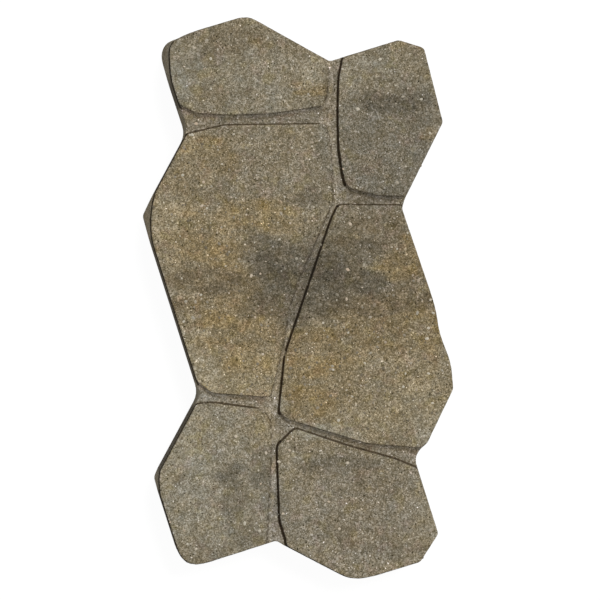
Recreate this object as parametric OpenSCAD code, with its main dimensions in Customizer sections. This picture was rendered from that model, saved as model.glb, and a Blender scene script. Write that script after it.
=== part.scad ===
// Concrete paving stone, pressed in one piece. Six raised flat faces, parted by false joints,
// make one irregular slab look like six laid flagstones.
// North is +Y, east is +X and up is +Z. The origin is the middle of the underside.

/* [Stone] */
// Width from west to east, before the corners are rounded
stone_w = 321; // [255:1:400]
// Length from south to north, before the corners are rounded
stone_l = 584; // [465:1:730]
// Thickness from the underside to the raised faces
stone_h = 60; // [40:1:80]

/* [False joints] */
// Depth of the false joints below the raised faces
joint_depth = 5; // [3.5:0.5:9]
// Lean of a joint wall that faces north or west, from its top edge to its foot
steep_run = 0.4; // [0.2:0.1:1.5]
// Lean of a joint wall that faces south or east, from its top edge to its foot
gentle_run = 4.2; // [2:0.1:5]
// Drop of a joint wall below its rounded top edge, before it starts to lean
head_drop = 0.8; // [0.3:0.1:1.2]

/* [Edges] */
// Rounding of the top edges of the raised faces
arris_r = 0.8; // [0.5:0.1:1.5]
// How far the raised faces stand back from the sides of the stone
rim_lip = 0.8; // [0.5:0.1:2]
// How far the rounding of a tight corner reaches along its sides
tight_reach = 3; // [2:0.5:6]
// How far the rounding of a middling corner reaches along its sides
mid_reach = 10; // [6:0.5:12]
// How far the rounding of a broad corner reaches along its sides
broad_reach = 18; // [12:1:22]
// How far the rounding of a raised face's corner reaches along its joint
joint_reach = 4; // [2:0.5:8]

/* [Hidden] */

// Height of the joint beds, and how deep the raised faces are rooted below them
bed_h = stone_h - joint_depth;
root_depth = joint_depth / 2;

// Most of a side that the rounding at one of its ends may take
reach_share = 0.45;
// Straight pieces in a rounded corner, and in a rounded top edge
corner_steps = 4;
arris_steps = 3;

// A side either follows the rim of the stone or faces a false joint
RIM = 0;
JOINT = 1;

// Corners of the stone at its foot, clockwise from its north-west: shares of its width and length from
// the south-west, and the reach of the rounding there
outline_shares = [
    [0.058, 0.936, mid_reach],
    [0.078, 0.960, mid_reach],
    [0.133, 0.967, broad_reach],
    [0.329, 1.000, mid_reach],
    [0.596, 0.920, tight_reach],
    [0.821, 0.959, tight_reach],
    [0.904, 0.945, tight_reach],
    [0.966, 0.813, tight_reach],
    [0.841, 0.676, tight_reach],
    [0.832, 0.659, tight_reach],
    [0.942, 0.484, broad_reach],
    [0.955, 0.435, broad_reach],
    [0.993, 0.385, broad_reach],
    [1.000, 0.337, tight_reach],
    [0.915, 0.241, tight_reach],
    [0.893, 0.231, tight_reach],
    [0.873, 0.214, mid_reach],
    [0.951, 0.079, tight_reach],
    [0.892, 0.029, tight_reach],
    [0.719, 0.001, broad_reach],
    [0.662, 0.000, mid_reach],
    [0.422, 0.069, tight_reach],
    [0.159, 0.024, broad_reach],
    [0.114, 0.041, mid_reach],
    [0.049, 0.153, tight_reach],
    [0.037, 0.178, tight_reach],
    [0.049, 0.194, tight_reach],
    [0.181, 0.328, mid_reach],
    [0.022, 0.602, mid_reach],
    [0.000, 0.647, tight_reach],
    [0.028, 0.680, mid_reach],
    [0.139, 0.793, mid_reach],
    [0.085, 0.883, mid_reach]
];

// Corners whose top stands back from their foot, which blunts the raised face there: the number of the
// outline corner, counted from zero, and the shares of the width and the length at its top
blunt_shares = [
    [0, [0.079, 0.918]],
    [1, [0.080, 0.949]],
    [25, [0.046, 0.180]],
    [29, [0.019, 0.637]]
];

// Where each raised face meets the rim, clockwise from one false joint's mouth to the next: the number
// of the outline corner that the side starts from, counted from zero, and a share of that side
north_west_mouth_shares = [[31, 0.54], [3, 0.92]];
north_east_mouth_shares = [[4, 0.19], [7, 0.97]];
centre_east_mouth_shares = [[8, 0.70], [14, 0.83]];
south_east_mouth_shares = [[16, 0.14], [20, 0.83]];
south_west_mouth_shares = [[21, 0.12], [26, 0.88]];
centre_west_mouth_shares = [[27, 0.10], [30, 0.97]];

// Corners of each raised face along its false joints, clockwise: shares of the stone's width and
// length from the south-west
north_west_shares = [
    [0.589, 0.906], [0.593, 0.885], [0.580, 0.841], [0.403, 0.826], [0.269, 0.823], [0.164, 0.826]
];
north_east_shares = [
    [0.744, 0.682], [0.700, 0.689], [0.666, 0.693], [0.647, 0.702],
    [0.638, 0.720], [0.626, 0.765], [0.623, 0.832], [0.626, 0.889]
];
centre_east_shares = [
    [0.718, 0.241], [0.453, 0.286], [0.432, 0.298], [0.451, 0.399], [0.602, 0.640], [0.624, 0.665]
];
south_east_shares = [
    [0.434, 0.107], [0.426, 0.229], [0.428, 0.240], [0.481, 0.268], [0.644, 0.238],
    [0.799, 0.214]
];
south_west_shares = [
    [0.219, 0.314], [0.381, 0.302], [0.401, 0.286], [0.408, 0.247], [0.403, 0.176]
];
centre_west_shares = [
    [0.254, 0.805], [0.581, 0.808], [0.599, 0.770], [0.607, 0.672], [0.487, 0.522],
    [0.466, 0.484], [0.444, 0.413], [0.403, 0.324], [0.213, 0.332]
];

// A corner is its x, its y, the reach of its rounding and the kind of side that starts there
function corner(share, reach, kind) = [share[0] * stone_w, share[1] * stone_l, reach, kind];
function point(corner) = [corner[0], corner[1]];
function at(list, i) = list[(i + len(list)) % len(list)];
function unit(v) = v / norm(v);

// Shares of the outline corner i at its top
function crown_share(i) =
    let (blunt = [for (row = blunt_shares) if (row[0] == i) row[1]])
    len(blunt) > 0 ? blunt[0] : outline_shares[i];

foot = [for (row = outline_shares) corner(row, row[2], RIM)];
crown = [for (i = [0 : len(outline_shares) - 1]) corner(crown_share(i), outline_shares[i][2], RIM)];

// Outline corners first to last, counted on past the end of the list
function rim(first, last) = [for (i = [first : last]) at(crown, i)];

// Mouth of a false joint, on a share of the side that starts at the numbered outline corner
function mouth(row, kind) =
    let (place = point(at(crown, row[0])) * (1 - row[1]) + point(at(crown, row[0] + 1)) * row[1])
    [place.x, place.y, tight_reach, kind];

// Direction out of the side that starts at corner i of a clockwise outline
function outward(corners, i) =
    let (along = unit(point(at(corners, i + 1)) - point(at(corners, i))))
    [-along.y, along.x];

// Lean of a joint wall, from steep where it faces north or west to gentle where it faces south or east
function joint_run(out) = steep_run + (gentle_run - steep_run) * max(0, min(1, (1 + out.x - out.y) / 2));

// Corner i after the side before it and the side after it have each moved outward by their own shift
function moved(corners, shifts, i) =
    let (
        before = outward(corners, i - 1),
        after = outward(corners, i),
        turn = before.x * after.y - before.y * after.x,
        slide_x = at(shifts, i - 1) * after.y - at(shifts, i) * before.y,
        slide_y = at(shifts, i) * before.x - at(shifts, i - 1) * after.x
    )
    point(corners[i]) + [slide_x, slide_y] / turn;

// Ring of points through the corners, with each corner rounded by a curve that touches both its sides
function rounded(corners, shifts) =
    let (places = [for (i = [0 : len(corners) - 1]) moved(corners, shifts, i)])
    [
        for (i = [0 : len(places) - 1])
            let (
                here = places[i],
                back = at(places, i - 1) - here,
                ahead = at(places, i + 1) - here,
                start = here + unit(back) * min(corners[i][2], reach_share * norm(back)),
                end = here + unit(ahead) * min(corners[i][2], reach_share * norm(ahead))
            )
            for (step = [0 : corner_steps])
                let (t = step / corner_steps)
                start * (1 - t) ^ 2 + here * 2 * t * (1 - t) + end * t ^ 2
    ];

// Ring of a raised face at one height: joint walls lean out by a share of their run, and every side
// is drawn in by the inset
function face_ring(corners, height, run_share, inset) =
    let (
        shifts = [
            for (i = [0 : len(corners) - 1])
                (corners[i][3] == RIM ? -rim_lip : joint_run(outward(corners, i)) * run_share) - inset
        ]
    )
    [for (place = rounded(corners, shifts)) [place.x, place.y, height]];

// Ring of the stone's sides at one height, on the way from the foot to the crown
function side_ring(height) =
    let (
        share = height / stone_h,
        corners = foot * (1 - share) + crown * share
    )
    [for (place = rounded(corners, [for (corner = corners) 0])) [place.x, place.y, height]];

foot_xs = [for (place = side_ring(0)) place.x];
foot_ys = [for (place = side_ring(0)) place.y];
middle = [min(foot_xs) + max(foot_xs), min(foot_ys) + max(foot_ys)] / 2;

// Raised faces, each clockwise: its stretch of the rim from one joint mouth to the next, then its joints
function face(mouths, joint_shares) =
    let (
        first = mouths[0][0],
        last = mouths[1][0],
        laps = last < first ? len(crown) : 0
    )
    concat(
        [mouth(mouths[0], RIM)],
        rim(first + 1, last + laps),
        [mouth(mouths[1], JOINT)],
        [for (share = joint_shares) corner(share, joint_reach, JOINT)]
    );

faces = [
    face(north_west_mouth_shares, north_west_shares),
    face(north_east_mouth_shares, north_east_shares),
    face(centre_west_mouth_shares, centre_west_shares),
    face(centre_east_mouth_shares, centre_east_shares),
    face(south_west_mouth_shares, south_west_shares),
    face(south_east_mouth_shares, south_east_shares)
];

// Middle of a ring's points
function hub(ring) = [for (axis = [0 : 2]) sum([for (place = ring) place[axis]]) / len(ring)];
function sum(numbers) = numbers * [for (number = numbers) 1];

// Solid through rings of equally many points, from the lowest up, with each end closed around its middle
module loft(rings) {
    count = len(rings[0]);
    top = len(rings) - 1;
    low_hub = len(rings) * count;
    high_hub = low_hub + 1;
    sides = [
        for (level = [0 : top - 1])
            for (i = [0 : count - 1])
                let (low = level * count, high = low + count, next = (i + 1) % count)
                each [[low + i, low + next, high + next], [low + i, high + next, high + i]]
    ];
    ends = [
        for (i = [0 : count - 1])
            let (high = top * count, next = (i + 1) % count)
            each [[low_hub, next, i], [high_hub, high + i, high + next]]
    ];
    polyhedron(
        points = concat([for (ring = rings) each ring], [hub(rings[0]), hub(rings[top])]),
        faces = concat(sides, ends)
    );
}

// One raised face: rooted in the slab, with joint walls that lean out below a short drop and a rounded
// top edge
module raised_face(corners) {
    arris = [
        for (step = [0 : arris_steps])
            let (angle = step * 90 / arris_steps)
            face_ring(corners, stone_h - arris_r * (1 - sin(angle)), 0, arris_r * (1 - cos(angle)))
    ];
    loft(concat(
        [
            face_ring(corners, bed_h - root_depth, 1, 0),
            face_ring(corners, bed_h, 1, 0),
            face_ring(corners, stone_h - arris_r - head_drop, 0, 0)
        ],
        arris
    ));
}

module paving_stone() {
    color("#857c6c")
    translate([-middle.x, -middle.y, 0])
    union() {
        loft([side_ring(0), side_ring(bed_h)]);
        for (corners = faces)
            raised_face(corners);
    }
}

paving_stone();
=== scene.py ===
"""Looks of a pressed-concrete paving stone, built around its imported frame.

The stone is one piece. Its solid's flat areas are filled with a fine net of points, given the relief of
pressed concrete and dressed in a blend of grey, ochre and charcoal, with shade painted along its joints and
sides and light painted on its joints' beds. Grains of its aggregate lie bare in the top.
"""

import logging
import math
import random
from dataclasses import dataclass, field
from enum import Enum

import bmesh
import bpy
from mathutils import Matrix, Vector, kdtree
from mathutils.geometry import delaunay_2d_cdt


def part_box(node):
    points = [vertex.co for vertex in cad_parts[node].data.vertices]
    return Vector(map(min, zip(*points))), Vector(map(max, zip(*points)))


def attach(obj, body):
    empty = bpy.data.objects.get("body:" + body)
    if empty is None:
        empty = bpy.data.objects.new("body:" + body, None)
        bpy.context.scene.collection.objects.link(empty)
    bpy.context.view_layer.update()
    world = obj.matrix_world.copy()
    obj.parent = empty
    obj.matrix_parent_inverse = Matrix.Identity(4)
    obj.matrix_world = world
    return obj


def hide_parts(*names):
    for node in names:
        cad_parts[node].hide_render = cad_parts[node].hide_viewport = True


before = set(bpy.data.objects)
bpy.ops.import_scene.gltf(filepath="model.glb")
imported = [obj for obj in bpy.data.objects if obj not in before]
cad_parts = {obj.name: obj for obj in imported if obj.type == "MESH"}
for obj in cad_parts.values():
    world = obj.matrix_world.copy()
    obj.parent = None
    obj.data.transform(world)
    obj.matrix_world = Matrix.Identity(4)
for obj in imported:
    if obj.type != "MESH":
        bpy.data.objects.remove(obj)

LOG = logging.getLogger("paving_stone")
MM = 0.001
NODE = "paving_stone"
BODY = "root"
NEARNESS = 1e-6

# Middle of a noise's values, and what a place is multiplied by to lay it flat
MIDDLE = 0.5
LEVELLED = (1.0, 1.0, 0.0)

# Attribute that the scattering leaves on the grains for their finish to read
GRAIN_TONE = "grain_tone"

Colour = tuple[float, float, float]
Socket = bpy.types.NodeSocket
Feed = Socket | float | int | str | bool | tuple | Vector | bpy.types.ID


@dataclass(frozen=True)
class Swells:
    """The swells of a noise texture.

    Attributes:
        size: How large they are, in millimetres.
        detail: How many finer layers they have.
        roughness: How strong the finer layers are.
    """

    size: float
    detail: float = 1.0
    roughness: float = 0.5


class Bench:
    """Adds and links nodes in one node tree."""

    def __init__(self, tree: bpy.types.NodeTree) -> None:
        """Takes the tree to work in."""
        self.tree = tree

    def feed(self, socket: Socket, value: Feed) -> None:
        """Links a socket to another, or sets its value.

        Args:
            socket: The input to fill.
            value: A socket to link from, or a plain value.
        """
        if isinstance(value, Socket):
            self.tree.links.new(value, socket)
        else:
            socket.default_value = value

    def add(self, kind: str, feeds: dict[str | int, Feed] | None = None, **settings: Feed) -> bpy.types.Node:
        """Adds a node.

        Args:
            kind: The node's type name.
            feeds: What goes into its inputs, by name or number.
            settings: The node's own options.

        Returns:
            The new node.
        """
        node = self.tree.nodes.new(kind)
        for name, value in settings.items():
            setattr(node, name, value)
        for name, value in (feeds or {}).items():
            self.feed(node.inputs[name], value)
        return node

    def math(self, operation: str, first: Feed, second: Feed = 0.0, third: Feed = 0.0) -> Socket:
        """Works out one number from up to three.

        Args:
            operation: The Math node's operation.
            first: The first number.
            second: The second number.
            third: The third number, where the operation has one.

        Returns:
            The result's socket.
        """
        return self.add("ShaderNodeMath", {0: first, 1: second, 2: third}, operation=operation).outputs[0]

    def swing(self, value: Feed, strength: Feed, middle: Feed = 0.0) -> Socket:
        """Turns a number between 0 and 1 into a swing to both sides of a middle.

        Args:
            value: The number.
            strength: How wide the swing is.
            middle: The result for one half.

        Returns:
            The result's socket.
        """
        return self.math("MULTIPLY_ADD", self.math("SUBTRACT", value, MIDDLE), strength, middle)

    def vector(self, operation: str, first: Feed, second: Feed = (0.0, 0.0, 0.0)) -> Socket:
        """Works out a vector, or its length, from two vectors.

        Args:
            operation: The Vector Math node's operation.
            first: The first vector.
            second: The second vector.

        Returns:
            The result's socket.
        """
        node = self.add("ShaderNodeVectorMath", {0: first, 1: second}, operation=operation)
        return node.outputs["Value" if operation == "LENGTH" else "Vector"]

    def centred(self, colour: Feed) -> Socket:
        """Turns a noise's colour into a vector that strays to all sides of zero."""
        return self.vector("SUBTRACT", colour, (MIDDLE, MIDDLE, MIDDLE))

    def scaled(self, vector: Feed, factor: Feed) -> Socket:
        """Multiplies a vector by a number.

        Args:
            vector: The vector.
            factor: The number.

        Returns:
            The product's socket.
        """
        node = self.add("ShaderNodeVectorMath", {0: vector, "Scale": factor}, operation="SCALE")
        return node.outputs["Vector"]

    def ramp(self, value: Feed, start: Feed, stop: Feed, low: Feed = 0.0, high: Feed = 1.0) -> Socket:
        """Turns a number into a smooth step.

        Args:
            value: The number.
            start: Where the step begins.
            stop: Where the step ends.
            low: The result before the step.
            high: The result after it.

        Returns:
            The result's socket.
        """
        feeds = {"Value": value, "From Min": start, "From Max": stop, "To Min": low, "To Max": high}
        return self.add("ShaderNodeMapRange", feeds, interpolation_type="SMOOTHSTEP").outputs["Result"]

    def noise(self, place: Feed, swells: Swells) -> bpy.types.Node:
        """Adds a noise texture.

        Args:
            place: Where it is read.
            swells: What its swells are like.

        Returns:
            The noise node.
        """
        feeds = {"Vector": place, "Scale": 1 / (swells.size * MM)}
        feeds.update({"Detail": swells.detail, "Roughness": swells.roughness})
        return self.add("ShaderNodeTexNoise", feeds, noise_dimensions="3D")

    def cells(self, place: Feed, size: float) -> bpy.types.Node:
        """Adds a cell texture.

        Args:
            place: Where it is read.
            size: How large its cells are, in millimetres.

        Returns:
            The cell node.
        """
        feeds = {"Vector": place, "Scale": 1 / (size * MM)}
        return self.add("ShaderNodeTexVoronoi", feeds, voronoi_dimensions="3D")

    def blend(self, factor: Feed, first: Feed, second: Feed, way: str = "MIX") -> Socket:
        """Blends two colours.

        Args:
            factor: How much of the second colour there is.
            first: The first colour.
            second: The second colour.
            way: The Mix node's blending.

        Returns:
            The blended colour's socket.
        """
        node = self.add("ShaderNodeMix", {0: factor, 6: first, 7: second}, data_type="RGBA", blend_type=way)
        return node.outputs[2]


def new_group(
    kind: str, name: str, inputs: dict[str, str], outputs: dict[str, str]
) -> tuple[Bench, dict[str, Socket], dict[str, Socket]]:
    """Starts a node group.

    Args:
        kind: The tree's type name.
        name: The group's name.
        inputs: Socket types of its inputs, by name.
        outputs: Socket types of its outputs, by name.

    Returns:
        The group's bench, its inputs' sockets by name and its outputs' sockets by name.
    """
    tree = bpy.data.node_groups.new(name, kind)
    for title, socket_type in inputs.items():
        tree.interface.new_socket(title, in_out="INPUT", socket_type=socket_type)
    for title, socket_type in outputs.items():
        tree.interface.new_socket(title, in_out="OUTPUT", socket_type=socket_type)
    bench = Bench(tree)
    entry = bench.add("NodeGroupInput").outputs
    end = bench.add("NodeGroupOutput").inputs
    return bench, {title: entry[title] for title in inputs}, {title: end[title] for title in outputs}


def new_material(
    name: str, roughness: float, gloss: float
) -> tuple[bpy.types.Material, Bench, bpy.types.Node]:
    """Starts a material.

    Args:
        name: The material's name.
        roughness: How dull its surface is.
        gloss: How much its surface mirrors.

    Returns:
        The material, its bench and its shader.
    """
    material = bpy.data.materials.new(name)
    material.use_nodes = True
    shader = material.node_tree.nodes["Principled BSDF"]
    shader.inputs["Roughness"].default_value = roughness
    shader.inputs["Specular IOR Level"].default_value = gloss
    return material, Bench(material.node_tree), shader


def rgba(colour: Colour) -> tuple[float, float, float, float]:
    """Gives a colour its full alpha."""
    return (*colour, 1.0)


def add_object(name: str, mesh: bpy.types.Mesh) -> bpy.types.Object:
    """Puts a mesh into the scene.

    Args:
        name: The object's name.
        mesh: Its mesh.

    Returns:
        The new object, at the origin.
    """
    thing = bpy.data.objects.new(name, mesh)
    bpy.context.scene.collection.objects.link(thing)
    return thing


def drop_object(thing: bpy.types.Object) -> None:
    """Takes an object and its mesh out of the scene."""
    mesh = thing.data
    bpy.data.objects.remove(thing)
    bpy.data.meshes.remove(mesh)


def run_nodes(thing: bpy.types.Object, tree: bpy.types.NodeTree, values: dict[str, Feed]) -> None:
    """Runs a geometry node tree on an object and keeps the result as its mesh.

    Args:
        thing: The object to change.
        tree: The tree, ending in Realize Instances and Set Material.
        values: What goes into the tree's named inputs.
    """
    modifier = thing.modifiers.new(tree.name, "NODES")
    modifier.node_group = tree
    identifiers = {item.name: item.identifier for item in tree.interface.items_tree if item.in_out == "INPUT"}
    for name, value in values.items():
        modifier[identifiers[name]] = value
    scene_state = bpy.context.evaluated_depsgraph_get()
    mesh = bpy.data.meshes.new_from_object(thing.evaluated_get(scene_state))
    thing.modifiers.clear()
    old = thing.data
    thing.data = mesh
    bpy.data.meshes.remove(old)
    mesh.name = thing.name


class Mark(Enum):
    """Lines of the solid to which the relief notes the level distance."""

    WEST_FOOT = "west_foot"
    NORTH_FOOT = "north_foot"
    WEST_RIM = "west_rim"
    NORTH_RIM = "north_rim"
    SOUTH_HEAD = "south_head"
    EAST_HEAD = "east_head"
    SOUTH_FOOT = "south_foot"


@dataclass(frozen=True)
class EdgeShade:
    """A dark line along one kind of edge, mostly painted shade in a crease or on a shadowed wall.

    Attributes:
        colour: What it multiplies the concrete's colour by.
        outer: Distance at which it begins, in millimetres.
        inner: Distance at which it is full, in millimetres.
        drop: How far below the top it is full, in millimetres.
        broken: Whether the grain breaks it up.
    """

    colour: Colour
    outer: float
    inner: float
    drop: float
    broken: bool = False


class Tint(Enum):
    """Colours that the blended concrete mix carries besides its grey."""

    LIGHT = "light"
    COOL = "cool"
    MAUVE = "mauve"
    TAN = "tan"
    OCHRE = "ochre"
    UMBER = "umber"
    CHARCOAL = "charcoal"
    SAND = "sand"


@dataclass(frozen=True)
class Patch:
    """A soft patch of one tint on the stone.

    Attributes:
        tint: Its colour.
        across: Its middle, as a share of the stone's width from the west.
        along: Its middle, as a share of the stone's length from the south.
        reach: How far it goes from its middle, east and north, in millimetres.
        strength: How much of the tint it has.
    """

    tint: Tint
    across: float
    along: float
    reach: tuple[float, float]
    strength: float


PATCHES = (
    Patch(Tint.LIGHT, 0.305, 0.875, (80, 42), 0.45),
    Patch(Tint.LIGHT, 0.126, 0.900, (24, 30), 0.9),
    Patch(Tint.LIGHT, 0.234, 0.176, (88, 92), 0.62),
    Patch(Tint.LIGHT, 0.136, 0.220, (28, 32), 0.95),
    Patch(Tint.LIGHT, 0.191, 0.331, (34, 10), 2.0),
    Patch(Tint.LIGHT, 0.418, 0.318, (13, 18), 1.2),
    Patch(Tint.LIGHT, 0.196, 0.374, (44, 16), 0.5),
    Patch(Tint.LIGHT, 0.662, 0.902, (54, 21), 0.6),
    Patch(Tint.LIGHT, 0.565, 0.267, (40, 10), 1.4),
    Patch(Tint.LIGHT, 0.905, 0.283, (26, 36), 0.45),
    Patch(Tint.LIGHT, 0.873, 0.105, (28, 32), 0.35),
    Patch(Tint.COOL, 0.792, 0.763, (78, 80), 0.95),
    Patch(Tint.COOL, 0.412, 0.122, (12, 38), 1.2),
    Patch(Tint.MAUVE, 0.662, 0.114, (95, 68), 0.7),
    Patch(Tint.OCHRE, 0.190, 0.763, (28, 18), 0.8),
    Patch(Tint.OCHRE, 0.195, 0.740, (36, 20), 0.5),
    Patch(Tint.OCHRE, 0.085, 0.652, (38, 46), 0.5),
    Patch(Tint.OCHRE, 0.365, 0.644, (52, 22), 0.75),
    Patch(Tint.OCHRE, 0.255, 0.625, (34, 22), 0.5),
    Patch(Tint.OCHRE, 0.110, 0.585, (24, 26), 0.6),
    Patch(Tint.OCHRE, 0.205, 0.585, (44, 20), 0.9),
    Patch(Tint.OCHRE, 0.192, 0.515, (36, 36), 0.75),
    Patch(Tint.OCHRE, 0.300, 0.530, (26, 24), 1.0),
    Patch(Tint.OCHRE, 0.230, 0.457, (46, 30), 0.9),
    Patch(Tint.OCHRE, 0.320, 0.475, (44, 22), 0.9),
    Patch(Tint.OCHRE, 0.142, 0.416, (26, 26), 0.3),
    Patch(Tint.OCHRE, 0.337, 0.407, (28, 30), 0.6),
    Patch(Tint.OCHRE, 0.815, 0.557, (30, 20), 1.0),
    Patch(Tint.OCHRE, 0.860, 0.580, (22, 22), 1.0),
    Patch(Tint.OCHRE, 0.915, 0.580, (18, 30), 0.9),
    Patch(Tint.OCHRE, 0.922, 0.430, (16, 24), 0.8),
    Patch(Tint.OCHRE, 0.402, 0.428, (20, 24), 0.7),
    Patch(Tint.OCHRE, 0.755, 0.478, (74, 15), 0.9),
    Patch(Tint.OCHRE, 0.920, 0.478, (18, 20), 1.1),
    Patch(Tint.OCHRE, 0.743, 0.434, (58, 26), 0.75),
    Patch(Tint.OCHRE, 0.565, 0.398, (44, 44), 0.85),
    Patch(Tint.OCHRE, 0.530, 0.318, (30, 20), 0.8),
    Patch(Tint.OCHRE, 0.662, 0.443, (38, 22), 0.55),
    Patch(Tint.OCHRE, 0.532, 0.870, (16, 10), 0.8),
    Patch(Tint.OCHRE, 0.207, 0.855, (22, 14), 0.3),
    Patch(Tint.OCHRE, 0.376, 0.274, (20, 22), 0.5),
    Patch(Tint.OCHRE, 0.922, 0.786, (9, 7), 0.5),
    Patch(Tint.TAN, 0.084, 0.635, (36, 24), 0.9),
    Patch(Tint.TAN, 0.290, 0.365, (62, 32), 1.2),
    Patch(Tint.TAN, 0.759, 0.336, (82, 54), 0.8),
    Patch(Tint.TAN, 0.850, 0.380, (46, 30), 0.5),
    Patch(Tint.UMBER, 0.272, 0.958, (42, 15), 0.55),
    Patch(Tint.UMBER, 0.175, 0.923, (24, 16), 0.4),
    Patch(Tint.UMBER, 0.337, 0.852, (22, 14), 0.3),
    Patch(Tint.UMBER, 0.207, 0.852, (18, 16), 0.4),
    Patch(Tint.UMBER, 0.890, 0.800, (28, 26), 0.25),
    Patch(Tint.UMBER, 0.920, 0.530, (16, 50), 0.35),
    Patch(Tint.UMBER, 0.700, 0.345, (42, 28), 0.25),
    Patch(Tint.UMBER, 0.585, 0.880, (8, 26), 1.0),
    Patch(Tint.UMBER, 0.256, 0.745, (36, 13), 0.3),
    Patch(Tint.UMBER, 0.743, 0.736, (18, 14), 0.5),
    Patch(Tint.UMBER, 0.720, 0.622, (50, 24), 0.85),
    Patch(Tint.UMBER, 0.824, 0.582, (34, 17), 0.55),
    Patch(Tint.UMBER, 0.220, 0.530, (44, 17), 0.95),
    Patch(Tint.UMBER, 0.344, 0.482, (26, 14), 0.7),
    Patch(Tint.UMBER, 0.483, 0.436, (26, 18), 0.5),
    Patch(Tint.UMBER, 0.670, 0.532, (22, 14), 0.5),
    Patch(Tint.UMBER, 0.865, 0.532, (20, 14), 0.5),
    Patch(Tint.UMBER, 0.135, 0.480, (20, 18), 0.8),
    Patch(Tint.UMBER, 0.743, 0.487, (46, 17), 1.0),
    Patch(Tint.UMBER, 0.873, 0.496, (36, 17), 0.9),
    Patch(Tint.UMBER, 0.743, 0.428, (70, 24), 0.35),
    Patch(Tint.UMBER, 0.370, 0.212, (24, 22), 0.4),
    Patch(Tint.UMBER, 0.727, 0.158, (36, 26), 0.3),
    Patch(Tint.UMBER, 0.700, 0.080, (46, 24), 0.35),
    Patch(Tint.UMBER, 0.175, 0.052, (40, 17), 0.3),
    Patch(Tint.CHARCOAL, 0.428, 0.560, (34, 26), 0.82),
    Patch(Tint.CHARCOAL, 0.396, 0.588, (34, 14), 0.6),
    Patch(Tint.CHARCOAL, 0.558, 0.588, (34, 14), 0.55),
    Patch(Tint.CHARCOAL, 0.430, 0.523, (34, 28), 0.65),
    Patch(Tint.CHARCOAL, 0.467, 0.480, (26, 16), 0.6),
    Patch(Tint.CHARCOAL, 0.580, 0.549, (40, 28), 0.85),
    Patch(Tint.CHARCOAL, 0.678, 0.585, (26, 16), 0.4),
    Patch(Tint.CHARCOAL, 0.575, 0.505, (34, 26), 0.8),
    Patch(Tint.CHARCOAL, 0.694, 0.530, (36, 17), 0.75),
    Patch(Tint.CHARCOAL, 0.532, 0.683, (19, 11), 0.5),
    Patch(Tint.CHARCOAL, 0.816, 0.846, (46, 12), 0.65),
    Patch(Tint.CHARCOAL, 0.743, 0.687, (42, 10), 0.3),
    Patch(Tint.CHARCOAL, 0.646, 0.206, (58, 11), 0.4),
    Patch(Tint.CHARCOAL, 0.268, 0.188, (17, 15), 0.6),
    Patch(Tint.CHARCOAL, 0.279, 0.145, (18, 30), 0.5),
    Patch(Tint.CHARCOAL, 0.113, 0.180, (6, 7), 0.6),
    Patch(Tint.CHARCOAL, 0.374, 0.182, (12, 15), 0.4),
    Patch(Tint.CHARCOAL, 0.337, 0.087, (21, 15), 0.3),
    Patch(Tint.SAND, 0.050, 0.638, (26, 22), 0.5),
    Patch(Tint.SAND, 0.136, 0.416, (18, 42), 0.55),
    Patch(Tint.SAND, 0.165, 0.368, (28, 17), 0.9),
    Patch(Tint.SAND, 0.380, 0.262, (12, 14), 0.7),
    Patch(Tint.SAND, 0.145, 0.265, (14, 28), 0.6),
    Patch(Tint.SAND, 0.084, 0.208, (14, 28), 0.35),
    Patch(Tint.SAND, 0.540, 0.905, (12, 22), 0.6),
    Patch(Tint.SAND, 0.922, 0.270, (16, 30), 0.3),
    Patch(Tint.SAND, 0.922, 0.105, (16, 28), 0.3),
)


@dataclass(frozen=True)
class ToneLayer:
    """One size of lighter and darker spots in the concrete.

    Attributes:
        size: How large the spots are, in millimetres.
        strength: How far they go to both sides of the middle tone, in doublings.
        grainy: Whether they are grains with edges, or else clouds.
    """

    size: float
    strength: float
    grainy: bool = False


@dataclass(frozen=True)
class Speck:
    """One kind of single grain or pit among the others.

    Attributes:
        spread: How far apart the grains it is picked from lie, in millimetres.
        share: How many of them are picked.
        reach: How far it goes from its middle, as a share of the spread.
        lift: How much lighter it is, in doublings.
    """

    spread: float
    share: float
    reach: float
    lift: float


@dataclass(frozen=True)
class HueShift:
    """What one cause adds to the concrete's hue.

    Attributes:
        red: The share that it adds to red.
        blue: The share that it adds to blue.
    """

    red: float
    blue: float


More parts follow.
